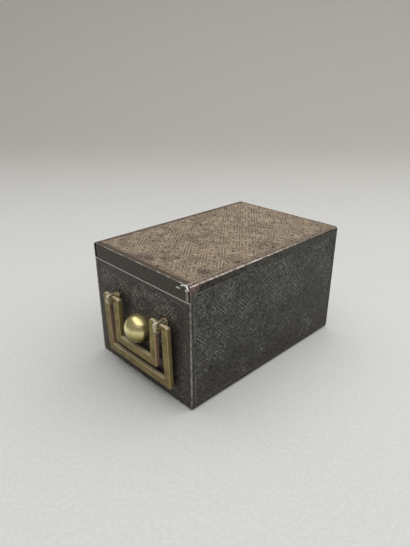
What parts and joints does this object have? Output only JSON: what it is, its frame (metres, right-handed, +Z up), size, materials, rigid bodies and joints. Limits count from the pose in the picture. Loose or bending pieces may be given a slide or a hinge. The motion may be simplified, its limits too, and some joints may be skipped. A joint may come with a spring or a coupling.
{
  "type": "sliding lid box",
  "caption": "Small oblong iron box with a fret-patterned lid that slides out under inturned lips, and two nested brass bail handles around a domed boss on its front.",
  "frame": {"origin": "middle of the case's flat underside, which rests on a surface", "axes": "+Z up, -Y out of the front with the handles, +X to the right seen from the front"},
  "size_m": [0.076, 0.1227, 0.066],
  "materials": {
    "patinated_iron": "dark grey-brown patina, satin, worn bright along the edges",
    "worn_lid_iron": "brown patina rubbed thin on the lid, satin",
    "silver_inlay": "tarnished silver wire, hammered flush",
    "brass": "aged yellow brass, polished by handling",
    "iron_rove": "dark forged iron"
  },
  "bodies": {
    "case": {"body_wrap": "patinated_iron", "front_plate": "patinated_iron", "back_plate": "patinated_iron", "left_lid_ledge": "patinated_iron", "right_lid_ledge": "patinated_iron", "left_handle_eye": "brass", "right_handle_eye": "brass", "left_eye_rove": "iron_rove", "right_eye_rove": "iron_rove", "front_boss": "brass", "boss_rove": "iron_rove", "front_border_inlay": "silver_inlay", "back_border_inlay": "silver_inlay", "left_border_inlay": "silver_inlay", "right_border_inlay": "silver_inlay"},
    "lid": {"lid_plate": "worn_lid_iron", "lid_front_bar": "patinated_iron", "lid_left_runner": "patinated_iron", "lid_right_runner": "patinated_iron", "lid_back_strip": "patinated_iron", "lid_border_inlay": "silver_inlay"},
    "outer_handle": {"outer_bail": "brass"},
    "inner_handle": {"inner_bail": "brass"}
  },
  "joints": [
    {"name": "lid_slide", "type": "slide", "parent": "case", "child": "lid", "axis": [0, -1, 0], "range_m": [0, 0.095]},
    {"name": "outer_bail_swing", "type": "hinge", "parent": "case", "child": "outer_handle", "pos_m": [0, -0.0602, 0.0413], "axis": [-1, 0, 0], "range_deg": [-1.2, 110]},
    {"name": "inner_bail_swing", "type": "hinge", "parent": "case", "child": "inner_handle", "pos_m": [0, -0.0602, 0.0413], "axis": [-1, 0, 0], "range_deg": [-3, 110]}
  ]
}
